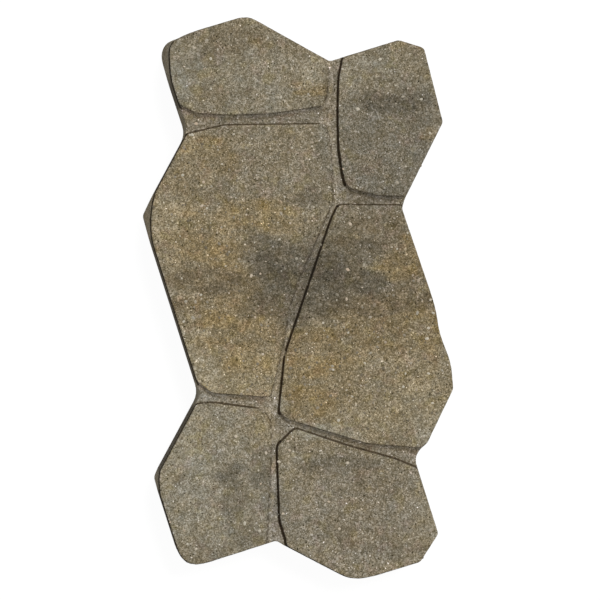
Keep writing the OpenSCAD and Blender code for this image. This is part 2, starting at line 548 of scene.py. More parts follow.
@dataclass(frozen=True)
class GrainTone:
    """Lighter and darker, warmer and colder grains of the concrete.

    Attributes:
        layers: The sizes of its spots.
        specks: Its single grains and pits.
        mid_tone: How much lighter it is than its plain colour, in doublings.
        grit: The swells that bend the grains' outlines.
        grit_drift: How far they bend them, in millimetres.
        warmth: How far small spots go to both sides of the middle hue.
        warm_spots: The swells of those spots.
        cloud_warmth: How far clouds go to both sides of the middle hue.
        clouds: The swells of those clouds.
        stains: The swells of the rusty and rosy stains.
        stain_edge: Where in those swells a stain begins and where it is full.
        rusty: What a rusty stain does to the hue.
        rosy: What a rosy stain does to it.
        lightness: What a doubling of the tone does to it.
        warming: What warmth does to it.
    """

    layers: tuple[ToneLayer, ...] = (
        ToneLayer(1.05, 1.8, True),
        ToneLayer(2.0, 0.66, True),
        ToneLayer(4.5, 0.75),
        ToneLayer(9.0, 0.68),
        ToneLayer(22.0, 0.55),
    )
    specks: tuple[Speck, ...] = (
        Speck(8.5, 0.10, 0.26, 0.8),
        Speck(4.4, 0.13, 0.42, 0.6),
        Speck(2.4, 0.12, 0.36, 1.7),
        Speck(3.0, 0.19, 0.32, -2.4),
    )
    mid_tone: float = 0.03
    grit: Swells = Swells(2.6, 2.0)
    grit_drift: float = 1.1
    warmth: float = 2.0
    warm_spots: Swells = Swells(3.4)
    cloud_warmth: float = 2.8
    clouds: Swells = Swells(16.0)
    stains: Swells = Swells(14.0)
    stain_edge: tuple[float, float] = (0.57, 0.72)
    rusty: HueShift = HueShift(0.02, -0.13)
    rosy: HueShift = HueShift(0.05, 0.03)
    lightness: HueShift = HueShift(-0.03, 0.14)
    warming: HueShift = HueShift(0.05, -0.09)

    OUTPUTS = ("Tone", "Redness", "Blueness", "Height")
    DOUBLE = 2.0

    def tone(self, bench: Bench, place: Feed) -> tuple[Feed, Feed]:
        """Adds up the spots and specks.

        Args:
            bench: The group's bench.
            place: Where the tone is read.

        Returns:
            How much lighter the concrete is, in doublings, and how far it stands out.
        """
        stray = bench.centred(bench.noise(place, self.grit).outputs["Color"])
        bent_place = bench.vector("ADD", place, bench.scaled(stray, self.grit_drift * MM))
        doublings: Feed = self.mid_tone
        bumps: Feed = 0.0
        for layer in self.layers:
            if layer.grainy:
                grains = bench.cells(bent_place, layer.size)
                spots = bench.add("ShaderNodeSeparateColor", {0: grains.outputs["Color"]}).outputs[2]
                depth = bench.math("MULTIPLY", grains.outputs["Distance"], layer.size)
                bumps = bench.math("SUBTRACT", bumps, depth)
            else:
                spots = bench.noise(place, Swells(layer.size)).outputs["Fac"]
            doublings = bench.math("ADD", doublings, bench.swing(spots, layer.strength))
        for speck in self.specks:
            grains = bench.cells(bent_place, speck.spread)
            rank = bench.add("ShaderNodeSeparateColor", {0: grains.outputs["Color"]}).outputs[0]
            picked = bench.ramp(rank, 1.0 - speck.share, 1.0 - speck.share / 2)
            core = bench.ramp(grains.outputs["Distance"], speck.reach, speck.reach / 2)
            lift = bench.math("MULTIPLY", bench.math("MULTIPLY", core, picked), speck.lift)
            doublings = bench.math("ADD", doublings, lift)
            bumps = bench.math("ADD", bumps, lift)
        return doublings, bumps

    def hue(self, bench: Bench, place: Feed, doublings: Feed) -> tuple[Feed, Feed]:
        """Adds up what shifts the hue.

        Args:
            bench: The group's bench.
            place: Where the hue is read.
            doublings: How much lighter the concrete is there.

        Returns:
            What the colour's red and blue are multiplied by.
        """
        warmth = bench.swing(bench.noise(place, self.warm_spots).outputs["Fac"], self.warmth)
        warmth = bench.swing(bench.noise(place, self.clouds).outputs["Fac"], self.cloud_warmth, warmth)
        stains = bench.noise(place, self.stains).outputs["Color"]
        channels = bench.add("ShaderNodeSeparateColor", {0: stains}).outputs
        redness: Feed = 1.0
        blueness: Feed = 1.0
        for cause, shift in (
            (doublings, self.lightness),
            (warmth, self.warming),
            (bench.ramp(channels[0], *self.stain_edge), self.rusty),
            (bench.ramp(channels[1], *self.stain_edge), self.rosy),
        ):
            redness = bench.math("MULTIPLY_ADD", cause, shift.red, redness)
            blueness = bench.math("MULTIPLY_ADD", cause, shift.blue, blueness)
        return redness, blueness

    def group(self) -> bpy.types.NodeTree:
        """Builds the group that gives every grain its own tone.

        Returns:
            The shader node group.
        """
        bench, given, out = new_group(
            "ShaderNodeTree",
            "grain",
            {"Place": "NodeSocketVector", "Contrast": "NodeSocketFloat"},
            {name: "NodeSocketFloat" for name in self.OUTPUTS},
        )
        doublings, bumps = self.tone(bench, given["Place"])
        doublings = bench.math("MULTIPLY", doublings, given["Contrast"])
        tone = bench.math("POWER", self.DOUBLE, doublings)
        redness, blueness = self.hue(bench, given["Place"], doublings)
        for name, value in zip(self.OUTPUTS, (tone, redness, blueness, bumps)):
            bench.feed(out[name], value)
        return bench.tree


@dataclass(frozen=True)
class TintBlend:
    """The concrete's grey with the patches of its tints.

    Attributes:
        grey: The colour without a tint.
        tints: The tints' colours, blended in the order of the tints.
        patch_edge: Where a patch ends and where it is full, as shares of its reach.
        drift: The swells that bend the patches' outlines.
        drift_reach: How far they bend them along each axis, in millimetres.
        stretch: How much closer together places are read, so that swells are drawn out.
        streaks: The swells that break up some of the tints.
        streak_edge: Where in those swells a tint is thinnest and where it is thickest.
        thinnest: How much is left of each tint that is broken up, at its thinnest.
        thickest: How much there is of it at its thickest.
        joint_tint: How much is left of a tint in the joints.
        face_edge: How far below the top the joints end and the raised faces begin, in millimetres.
    """

    grey: Colour = (0.209, 0.175, 0.113)
    tints: dict[Tint, Colour] = field(
        default_factory=lambda: {
            Tint.LIGHT: (0.253, 0.228, 0.166),
            Tint.COOL: (0.175, 0.154, 0.110),
            Tint.MAUVE: (0.219, 0.189, 0.134),
            Tint.TAN: (0.256, 0.206, 0.119),
            Tint.OCHRE: (0.235, 0.174, 0.083),
            Tint.UMBER: (0.140, 0.111, 0.066),
            Tint.CHARCOAL: (0.081, 0.069, 0.046),
            Tint.SAND: (0.300, 0.255, 0.168),
        }
    )
    patch_edge: tuple[float, float] = (1.2, 0.55)
    drift: Swells = Swells(30.0, 3.0, 0.6)
    drift_reach: tuple[float, float, float] = (46.0, 26.0, 0.0)
    stretch: tuple[float, float, float] = (0.5, 1.0, 1.0)
    streaks: Swells = Swells(15.0, 3.0, 0.65)
    streak_edge: tuple[float, float] = (0.30, 0.62)
    thinnest: dict[Tint, float] = field(
        default_factory=lambda: {Tint.TAN: 0.35, Tint.OCHRE: 0.35, Tint.UMBER: 0.35, Tint.CHARCOAL: 0.75}
    )
    thickest: float = 1.1
    joint_tint: float = 0.4
    face_edge: tuple[float, float] = (1.0, 0.5)

    def patch_group(self) -> bpy.types.NodeTree:
        """Builds the group that makes one soft patch.

        Returns:
            The shader node group.
        """
        inputs = {name: "NodeSocketVector" for name in ("Place", "Middle", "Reach")}
        inputs["Strength"] = "NodeSocketFloat"
        bench, given, out = new_group("ShaderNodeTree", "tint patch", inputs, {"Mask": "NodeSocketFloat"})
        away = bench.vector("SUBTRACT", given["Place"], given["Middle"])
        away = bench.vector("LENGTH", bench.vector("DIVIDE", away, given["Reach"]))
        mask = bench.ramp(away, *self.patch_edge)
        bench.feed(out["Mask"], bench.math("MULTIPLY", mask, given["Strength"]))
        return bench.tree

    def colour(self, bench: Bench, place: Feed, low: Vector, high: Vector) -> tuple[Feed, Feed]:
        """Blends the tints' patches into the grey.

        Args:
            bench: The material's bench.
            place: Where the colour is read.
            low: The stone's lowest corner.
            high: The stone's highest corner.

        Returns:
            The blended colour, and the share of the light tint in it.
        """
        drawn_out = bench.vector("MULTIPLY", place, self.stretch)
        drift = bench.centred(bench.noise(drawn_out, self.drift).outputs["Color"])
        drift = bench.vector("MULTIPLY", drift, tuple(reach * MM for reach in self.drift_reach))
        flat_place = bench.vector("MULTIPLY", bench.vector("ADD", place, drift), LEVELLED)
        streaks = bench.noise(drawn_out, self.streaks).outputs["Fac"]
        height = bench.add("ShaderNodeSeparateXYZ", {0: place}).outputs[2]
        joint_edge, face_edge = (high.z - drop * MM for drop in self.face_edge)
        raised = bench.ramp(height, joint_edge, face_edge, self.joint_tint, 1.0)
        patch_tree = self.patch_group()
        size = high - low
        colour: Feed = rgba(self.grey)
        shares: dict[Tint, Feed] = {}
        for tint in Tint:
            total: Feed = 0.0
            for patch in (patch for patch in PATCHES if patch.tint is tint):
                node = bench.add("ShaderNodeGroup", node_tree=patch_tree)
                middle = (low.x + patch.across * size.x, low.y + patch.along * size.y, 0.0)
                bench.feed(node.inputs["Place"], flat_place)
                bench.feed(node.inputs["Middle"], middle)
                bench.feed(node.inputs["Reach"], (patch.reach[0] * MM, patch.reach[1] * MM, 1.0))
                bench.feed(node.inputs["Strength"], patch.strength)
                total = bench.math("MAXIMUM", total, node.outputs["Mask"])
            if tint in self.thinnest:
                breaks = bench.ramp(streaks, *self.streak_edge, self.thinnest[tint], self.thickest)
                total = bench.math("MULTIPLY", total, breaks)
            if tint is not Tint.CHARCOAL:
                total = bench.math("MULTIPLY", total, raised)
            shares[tint] = bench.math("MINIMUM", total, 1.0)
            colour = bench.blend(shares[tint], colour, rgba(self.tints[tint]))
        return colour, shares[Tint.LIGHT]


@dataclass(frozen=True)
class JointShade:
    """Dark lines along the joints and the sides, mostly painted shade, and the joints' tone with painted
    light.

    Attributes:
        lines: The dark lines along each kind of edge, mostly painted shade.
        breaks: The swells that break up a broken line.
        break_edge: Where in those swells such a line is gone and where it is whole.
        line_end: How far from the head of an east wall a north wall's line ends and is whole, in millimetres.
        hue: What the joints' colour is multiplied by.
        painted_bed_light: How many times lighter the joints are painted: painted light that lifts their
            shade.
        painted_slope_light: How many times lighter the joints' east walls are painted: painted light for
            their lit side.
        slope_edge: How far from the head of an east wall the bed begins and the wall ends, in millimetres.
        head: How far below the top the joints begin in full, in millimetres.
        bed: How far below the top the joints' beds lie, in millimetres.
        side_edge: How far below the beds the stone's sides begin and the joints end, in millimetres.
    """

    # Painted shade: the west feet and west rims darken the west walls and the beds they shadow; the north
    # feet and north rims darken the creases at those walls' feet; the south heads and south feet darken the
    # south walls' heads and feet. The east heads' line is a broken dark line at the top of the east walls.
    lines: dict[Mark, EdgeShade] = field(
        default_factory=lambda: {
            Mark.WEST_FOOT: EdgeShade((0.17, 0.135, 0.09), 2.0, 1.0, 1.0),
            Mark.NORTH_FOOT: EdgeShade((0.29, 0.25, 0.19), 1.4, 0.65, 0.4),
            Mark.WEST_RIM: EdgeShade((0.18, 0.16, 0.12), 1.4, 0.6, 1.0),
            Mark.NORTH_RIM: EdgeShade((0.55, 0.52, 0.46), 1.0, 0.3, 1.0),
            Mark.SOUTH_HEAD: EdgeShade((0.92, 0.89, 0.84), 0.9, 0.3, 0.35),
            Mark.EAST_HEAD: EdgeShade((0.46, 0.43, 0.38), 2.0, 0.6, 0.0, True),
            Mark.SOUTH_FOOT: EdgeShade((0.82, 0.79, 0.74), 2.0, 0.5, 0.7),
        }
    )
    breaks: Swells = Swells(5.0, 2.0)
    break_edge: tuple[float, float] = (0.38, 0.58)
    line_end: tuple[float, float] = (1.0, 4.5)
    hue: Colour = (0.985, 1.0, 1.085)
    painted_bed_light: float = 1.08
    painted_slope_light: float = 1.34
    slope_edge: tuple[float, float] = (5.5, 4.5)
    head: float = 0.7
    bed: float = 5.0
    side_edge: tuple[float, float] = (2.0, 1.0)

    def lowered(self, bench: Bench, height: Feed, top: float) -> Socket:
        """Tells the joints' slopes and beds from the raised faces and from the sides.

        Args:
            bench: The material's bench.
            height: The height at which the colour is read.
            top: Height of the stone's top.

        Returns:
            A socket that is 1 in the joints.
        """
        side, joint = (top - (self.bed + drop) * MM for drop in self.side_edge)
        below = bench.ramp(height, top, top - self.head * MM)
        return bench.math("MULTIPLY", below, bench.ramp(height, side, joint))

    def colour(self, bench: Bench, place: Feed, plain: Feed, top: float) -> Feed:
        """Paints shade along the joints' lines and paints light on the joints' beds and east walls.

        Args:
            bench: The material's bench.
            place: Where the colour is read.
            plain: The colour before.
            top: Height of the stone's top.

        Returns:
            The colour after.
        """
        height = bench.add("ShaderNodeSeparateXYZ", {0: place}).outputs[2]
        unbroken = bench.ramp(bench.noise(place, self.breaks).outputs["Fac"], *self.break_edge)
        distances = {}
        for mark in self.lines:
            distances[mark] = bench.add("ShaderNodeAttribute", attribute_name=mark.value).outputs["Fac"]
        colour = plain
        # Each line multiplies in its painted shade; the east heads' line is a plain dark line.
        for mark, line in self.lines.items():
            share = bench.ramp(distances[mark], line.outer * MM, line.inner * MM)
            if line.drop:
                share = bench.math("MULTIPLY", share, bench.ramp(height, top, top - line.drop * MM))
            if line.broken:
                share = bench.math("MULTIPLY", share, unbroken)
            if mark is Mark.NORTH_FOOT:
                end = bench.ramp(distances[Mark.EAST_HEAD], *(reach * MM for reach in self.line_end))
                share = bench.math("MULTIPLY", share, end)
            colour = bench.blend(share, colour, rgba(line.colour), "MULTIPLY")
        lowered = self.lowered(bench, height, top)
        colour = bench.blend(lowered, colour, rgba(self.hue), "MULTIPLY")
        # Painted light: the joints' beds, and more so their east walls, are painted lighter.
        bed_begin, slope_end = (reach * MM for reach in self.slope_edge)
        lift = bench.ramp(distances[Mark.EAST_HEAD], bed_begin, slope_end, self.painted_bed_light, self.painted_slope_light)
        lift = bench.math("MULTIPLY_ADD", lowered, bench.math("SUBTRACT", lift, 1.0), 1.0)
        return bench.scaled(colour, lift)


@dataclass(frozen=True)
class ConcreteFinish:
    """Blended pressed concrete.

    Attributes:
        grain: The tones of its grains.
        blend: Its tints.
        joints: Its dark lines along the joints and sides, mostly painted shade, and its joints' tone and
            painted light.
        light_calm: How much weaker the grain is in the light tint.
        bump: How strongly the grain catches the light.
        bump_height: How far the grain stands out, in millimetres.
        roughness: How dull the surface is.
        gloss: How much it mirrors.
    """

    grain: GrainTone = field(default_factory=GrainTone)
    blend: TintBlend = field(default_factory=TintBlend)
    joints: JointShade = field(default_factory=JointShade)
    light_calm: float = 0.2
    bump: float = 0.6
    bump_height: float = 0.3
    roughness: float = 0.93
    gloss: float = 0.25

    def material(self, low: Vector, high: Vector) -> bpy.types.Material:
        """Makes the stone's material.

        Args:
            low: The stone's lowest corner.
            high: The stone's highest corner.

        Returns:
            The material.
        """
        material, bench, shader = new_material("blended_concrete", self.roughness, self.gloss)
        place = bench.add("ShaderNodeTexCoord").outputs["Object"]
        colour, light = self.blend.colour(bench, place, low, high)
        grain = bench.add("ShaderNodeGroup", node_tree=self.grain.group())
        bench.feed(grain.inputs["Place"], place)
        bench.feed(grain.inputs["Contrast"], bench.math("MULTIPLY_ADD", light, -self.light_calm, 1.0))
        colour = bench.scaled(colour, grain.outputs["Tone"])
        feeds = {0: grain.outputs["Redness"], 1: 1.0, 2: grain.outputs["Blueness"]}
        hue = bench.add("ShaderNodeCombineXYZ", feeds).outputs[0]
        colour = bench.vector("MULTIPLY", colour, hue)
        # The joints add painted shade along their lines and painted light on their beds and east walls.
        bench.feed(shader.inputs["Base Color"], self.joints.colour(bench, place, colour, high.z))
        feeds = {"Strength": self.bump, "Distance": self.bump_height * MM, "Height": grain.outputs["Height"]}
        bench.feed(shader.inputs["Normal"], bench.add("ShaderNodeBump", feeds).outputs["Normal"])
        return material


@dataclass
class SurfaceNet:
    """A net of triangles over a solid, with fine points on its flat areas and its edges kept.

    Attributes:
        top_spacing: Distance between points on the top, in millimetres.
        side_spacing: Distance between points on the sides, in millimetres.
        under_spacing: Distance between points on the underside, in millimetres.
        clearance: How far points stay from an area's edges, as a share of their distance.
        jitter: How far points stray from an even pattern, as a share of their distance.
        flat_angle: Bend below which neighbouring faces are joined, in degrees.
        flatness: How far a flat area's corners lie off its plane, in millimetres.
        least_area: Smallest area that gets points of its own, in square millimetres.
        seed: Start of the random numbers.
    """

    top_spacing: float = 1.65
    side_spacing: float = 4.0
    under_spacing: float = 9.0
    clearance: float = 0.72
    jitter: float = 0.16
    flat_angle: float = 0.2
    flatness: float = 0.004
    least_area: float = 0.05
    seed: int = 5

    INSIDE = 1
    MERGE_NEARNESS = 1e-4
    MARGIN = 1.0
    TRIANGLE_ANGLE = 60.0

    def areas(self, form: bmesh.types.BMesh) -> list[list[bmesh.types.BMFace]]:
        """Groups a solid's faces into flat areas.

        Args:
            form: The solid.

        Returns:
            The faces of each area, the largest face first.
        """
        form.faces.index_update()
        taken = [False] * len(form.faces)
        areas = []
        for first in sorted(form.faces, key=lambda face: -face.calc_area()):
            if taken[first.index]:
                continue
            taken[first.index] = True
            level = first.normal.dot(first.verts[0].co)
            area = [first]
            for member in area:
                for other in (face for edge in member.edges for face in edge.link_faces):
                    if taken[other.index]:
                        continue
                    drops = (first.normal.dot(vertex.co) - level for vertex in other.verts)
                    if all(abs(drop) < self.flatness * MM for drop in drops):
                        taken[other.index] = True
                        area.append(other)
            areas.append(area)
        return areas

    def spacing(self, places: list[Vector], bed: float) -> float:
        """Chooses the distance between points.

        Args:
            places: Corners of an edge or an area.
            bed: Height of the joint beds, in metres.

        Returns:
            The distance in metres.
        """
        heights = [place.z for place in places]
        margin = self.MARGIN * MM
        if min(heights) > bed - margin:
            return self.top_spacing * MM
        return (self.under_spacing if max(heights) < margin else self.side_spacing) * MM

    def cut_edges(self, form: bmesh.types.BMesh, areas: list[list[bmesh.types.BMFace]], bed: float) -> None:
        """Cuts the long edges between flat areas into short pieces.

        Args:
            form: The solid.
            areas: Its flat areas.
            bed: Height of the joint beds, in metres.
        """
        owner = {face.index: number for number, area in enumerate(areas) for face in area}
        by_cuts: dict[int, list[bmesh.types.BMEdge]] = {}
        for edge in form.edges:
            if len({owner[face.index] for face in edge.link_faces}) > 1:
                step = min(self.spacing([vertex.co for vertex in edge.verts], bed), self.side_spacing * MM)
                by_cuts.setdefault(math.ceil(edge.calc_length() / step) - 1, []).append(edge)
        for cuts, edges in sorted(by_cuts.items()):
            if cuts:
                bmesh.ops.bisect_edges(form, edges=edges, cuts=cuts)

    def pattern(self, rim: list[Vector], step: float, dice: random.Random) -> list[Vector]:
        """Lays points over an area.

        Args:
            rim: The area's rim, flattened.
            step: Distance between the points.
            dice: Source of the random numbers.

        Returns:
            The points that lie clear of the rim, inside the area and around it.
        """
        near = kdtree.KDTree(len(rim))
        for number, place in enumerate(rim):
            near.insert((place.x, place.y, 0.0), number)
        near.balance()
        low = Vector((min(place.x for place in rim), min(place.y for place in rim)))
        high = Vector((max(place.x for place in rim), max(place.y for place in rim)))
        row_step = step * math.sin(math.radians(self.TRIANGLE_ANGLE))
        points = []
        for row in range(int((high.y - low.y) / row_step)):
            for column in range(int((high.x - low.x) / step)):
                stray = Vector((dice.uniform(-1, 1), dice.uniform(-1, 1))) * self.jitter * step
                place = low + Vector(((column + row % 2 / 2) * step, row * row_step)) + stray
                if near.find((place.x, place.y, 0.0))[2] > self.clearance * step:
                    points.append(place)
        return points

    @staticmethod
    def inside(triangles: list[list[int]], walls: set[frozenset], start: tuple[int, int]) -> list[list[int]]:
        """Keeps the triangles that can be reached without crossing an area's rim.

        Args:
            triangles: All triangles, each turned to the left.
            walls: The pairs of points that the rim's pieces join.
            start: A piece of the rim that has the area on its left.

        Returns:
            The triangles inside the area.
        """
        sides = [tuple(zip(triangle, (*triangle[1:], triangle[0]))) for triangle in triangles]
        owner = {side: number for number, three in enumerate(sides) for side in three}
        reached = [owner[start]]
        known = set(reached)
        for number in reached:
            for first, second in sides[number]:
                other = owner.get((second, first))
                if other is None or other in known or frozenset((first, second)) in walls:
                    continue
                known.add(other)
                reached.append(other)
        return [triangles[number] for number in sorted(reached)]

    def fill(self, area: list[bmesh.types.BMFace], bed: float, dice: random.Random) -> tuple[list, list]:
        """Works out the net of a flat area.

        Args:
            area: The area's faces.
            bed: Height of the joint beds, in metres.
            dice: Source of the random numbers.

        Returns:
            The net's points, each a corner of the area or a new place, and its triangles.
        """
        members = set(area)
        loops = [loop for face in area for loop in face.loops]
        rim = [loop for loop in loops if sum(face in members for face in loop.edge.link_faces) == 1]
        ends = [(loop.vert, loop.link_loop_next.vert) for loop in rim]
        corners = list(dict.fromkeys(vertex for pair in ends for vertex in pair))
        order = {vertex: number for number, vertex in enumerate(corners)}
        turn = area[0].normal.to_track_quat("Z", "Y").to_matrix()
        flatten = turn.transposed()
        level = (flatten @ corners[0].co).z
        flat_corners = [(flatten @ vertex.co).to_2d() / MM for vertex in corners]
        step = self.spacing([vertex.co for vertex in corners], bed) / MM
        points = flat_corners + self.pattern(flat_corners, step, dice)
        links = [(order[first], order[second]) for first, second in ends]
        net = delaunay_2d_cdt(points, links, [], self.INSIDE, self.MERGE_NEARNESS)
        places, edges, triangles, place_sources, edge_sources = net[:5]
        spots: list[bmesh.types.BMVert | Vector] = []
        number_of: dict[int, int] = {}
        for number, (place, sources) in enumerate(zip(places, place_sources)):
            known = [source for source in sources if source < len(corners)]
            number_of.update({source: number for source in known})
            spots.append(corners[known[0]] if known else turn @ Vector((place.x * MM, place.y * MM, level)))
        walls = {frozenset(edge) for edge, sources in zip(edges, edge_sources) if sources}
        pairs = [(number_of[first], number_of[second]) for first, second in links]
        start = next(pair for pair in pairs if frozenset(pair) in walls)
        return spots, self.inside(triangles, walls, start)

    def build(self, solid: bpy.types.Mesh, bed: float) -> bpy.types.Mesh:
        """Makes the net.

        Args:
            solid: The merged mesh of the solid.
            bed: Height of the joint beds, in metres.

        Returns:
            The net as a new mesh.
        """
        form = bmesh.new()
        form.from_mesh(solid)
        areas = self.areas(form)
        self.cut_edges(form, areas, bed)
        dice = random.Random(self.seed)
        least = self.least_area * MM * MM
        large = [area for area in areas if sum(face.calc_area() for face in area) > least]
        nets = [self.fill(area, bed, dice) for area in large]
        bmesh.ops.delete(form, geom=[face for area in large for face in area], context="FACES_ONLY")
        for spots, triangles in nets:
            made: dict[int, bmesh.types.BMVert] = {}
            for number in dict.fromkeys(number for triangle in triangles for number in triangle):
                spot = spots[number]
                made[number] = form.verts.new(spot) if isinstance(spot, Vector) else spot
            for triangle in triangles:
                form.faces.new([made[number] for number in triangle])
        loose = [edge for edge in form.edges if not edge.link_faces]
        bmesh.ops.delete(form, geom=loose, context="EDGES")
        bmesh.ops.triangulate(form, faces=form.faces[:])
        bmesh.ops.recalc_face_normals(form, faces=form.faces[:])
        open_edges = sum(not edge.is_manifold for edge in form.edges)
        LOG.info("net of %d areas has %d open edges", len(areas), open_edges)
        mesh = bpy.data.meshes.new("stone")
        form.to_mesh(mesh)
        form.free()
        mesh.polygons.foreach_set("use_smooth", [True] * len(mesh.polygons))
        return mesh


@dataclass
class PressedStone:
    """The stone: its solid under a fine net, with the relief of pressed concrete.

    Attributes:
        finish: What it is made of.
        net: The net over its solid.
        swell: Height of its broad swells, in millimetres.
        swells: What those swells are like.
        rough: Height of its roughness, in millimetres.
        roughs: What the roughness is like.
        chip: Depth of the chips in its edges, in millimetres.
        chips: The swells that place the chips.
        chip_edge: Where in those swells a chip begins and where it is full.
        chip_bend: Bend of an edge at which chips begin and are full, in radians.
        chip_blur: How many steps of the net the chips reach from their edge.
        foot: Height over which the relief grows from nothing, in millimetres.
        lean: How far the west sides' tops jut out over their feet, in millimetres.
        lean_reach: How far from the west rims the top is drawn out with them, in millimetres.
        lean_full: How far from the west rims the top is drawn out in full, in millimetres.
        sharp_angle: Bend from which an edge is drawn sharp, in degrees.
    """

    finish: ConcreteFinish
    net: SurfaceNet
    swell: float = 0.5
    swells: Swells = Swells(48.0, 2.0)
    rough: float = 0.6
    roughs: Swells = Swells(6.0, 3.0, 0.65)
    chip: float = 0.7
    chips: Swells = Swells(8.0, 2.0, 0.6)
    chip_edge: tuple[float, float] = (0.5, 0.72)
    chip_bend: tuple[float, float] = (0.04, 0.2)
    chip_blur: int = 2
    foot: float = 4.0
    lean: float = 1.2
    lean_reach: float = 8.0
    lean_full: float = 2.0
    sharp_angle: float = 50.0

    STEEP = 0.4
    LEVEL = 0.95
    ASLANT = 0.35
    SLIVER = 0.05
    RIM_WIDTH = 1.4
    RIM_STEP = 1.0
    EVEN = 1.0
    WEST = (-1.0, 0.0, 0.0)
    SIZES = ("Swell", "Roughness", "Chip", "Foot", "Lean", "Lean Reach", "Lean Full", "Top")

    def sound(self, face: bmesh.types.BMFace) -> bool:
        """Tells whether a face is wide enough for its normal to be trusted."""
        longest = max(edge.calc_length() for edge in face.edges)
        return 2 * face.calc_area() > self.SLIVER * MM * longest

    def outline(self, form: bmesh.types.BMesh) -> kdtree.KDTree:
        """Gathers points along the top of the stone's sides.

        Args:
            form: The solid.

        Returns:
            The points.
        """
        points = []
        middle = max(vertex.co.z for vertex in form.verts) / 2
        for edge in form.edges:
            start, stop = (vertex.co for vertex in edge.verts)
            lowest = min(vertex.co.z for face in edge.link_faces for vertex in face.verts)
            if start.z > middle > lowest and abs(start.z - stop.z) < self.EVEN * MM:
                steps = math.ceil(edge.calc_length() / (self.RIM_STEP * MM))
                points += [start.lerp(stop, step / steps) for step in range(steps + 1)]
        tree = kdtree.KDTree(len(points))
        for number, point in enumerate(points):
            tree.insert(point, number)
        tree.balance()
        return tree

    def mark_of(self, edge: bmesh.types.BMEdge, outline: kdtree.KDTree) -> Mark | None:
        """Tells what an edge is.

        Args:
            edge: An edge of the solid.
            outline: Points along the top of the stone's sides.

        Returns:
            Its mark, or None for an edge that bears none.
        """
        steeper, flatter = sorted(edge.link_faces, key=lambda face: abs(face.normal.z))
        slant, level = steeper.normal, flatter.normal
        height = max(vertex.co.z for vertex in edge.verts)
        rise = max(vertex.co.z for vertex in steeper.verts) - height
        if not (self.sound(steeper) and self.sound(flatter)) or rise < self.ASLANT * MM:
            return None
        if abs(slant.z) < self.STEEP and level.z > self.LEVEL and max(-slant.x, slant.y) > self.ASLANT:
            middle = (edge.verts[0].co + edge.verts[1].co) / 2
            if outline.find(middle)[2] < self.RIM_WIDTH * MM:
                return Mark.WEST_RIM if -slant.x > slant.y else Mark.NORTH_RIM
            return Mark.WEST_FOOT if -slant.x > slant.y else Mark.NORTH_FOOT
        if abs(slant.z) < self.STEEP and self.STEEP < level.z < self.LEVEL:
            return Mark.SOUTH_HEAD if -level.y > level.x else Mark.EAST_HEAD
        if self.STEEP < slant.z < self.LEVEL < level.z and -slant.y > max(slant.x, self.ASLANT):
            return Mark.SOUTH_FOOT
        return None

    def lines(self, solid: bpy.types.Mesh) -> dict[Mark, bpy.types.Object]:
        """Finds the feet and heads of the joints' walls.

        Args:
            solid: The merged mesh of the solid.

        Returns:
            An object for each mark that holds its lines, flattened.
        """
        form = bmesh.new()
        form.from_mesh(solid)
        outline = self.outline(form)
        found: dict[Mark, list[Vector]] = {mark: [] for mark in Mark}
        for edge in form.edges:
            mark = self.mark_of(edge, outline)
            if mark:
                found[mark] += [Vector((vertex.co.x, vertex.co.y, 0.0)) for vertex in edge.verts]
        form.free()
        lines = {}
        for mark, points in found.items():
            mesh = bpy.data.meshes.new(mark.value)
            mesh.from_pydata(points, [(number, number + 1) for number in range(0, len(points), 2)], [])
            lines[mark] = add_object(mark.value, mesh)
            LOG.info("%s has %d lines", mark.value, len(points) // 2)
        return lines

    def relief_tree(self) -> bpy.types.NodeTree:
        """Builds the tree that gives the stone its relief and marks its edges.

        Returns:
            The geometry node tree.
        """
        bench, given, out = new_group(
            "GeometryNodeTree",
            "pressed relief",
            {
                "Stone": "NodeSocketGeometry",
                **{mark.value: "NodeSocketObject" for mark in Mark},
                **{name: "NodeSocketFloat" for name in self.SIZES},
                "Material": "NodeSocketMaterial",
            },
            {"Stone": "NodeSocketGeometry"},
        )
        place = bench.add("GeometryNodeInputPosition").outputs[0]
        normal = bench.add("GeometryNodeInputNormal").outputs[0]
        flat_place = bench.vector("MULTIPLY", place, LEVELLED)
        marked = given["Stone"]
        distances = {}
        for mark in Mark:
            line = bench.add("GeometryNodeObjectInfo", {"Object": given[mark.value]}).outputs["Geometry"]
            feeds = {0: line, "Source Position": flat_place}
            near = bench.add("GeometryNodeProximity", feeds, target_element="EDGES")
            distances[mark] = near.outputs["Distance"]
            feeds = {"Geometry": marked, "Name": mark.value, "Value": distances[mark]}
            marked = bench.add("GeometryNodeStoreNamedAttribute", feeds, domain="POINT").outputs["Geometry"]

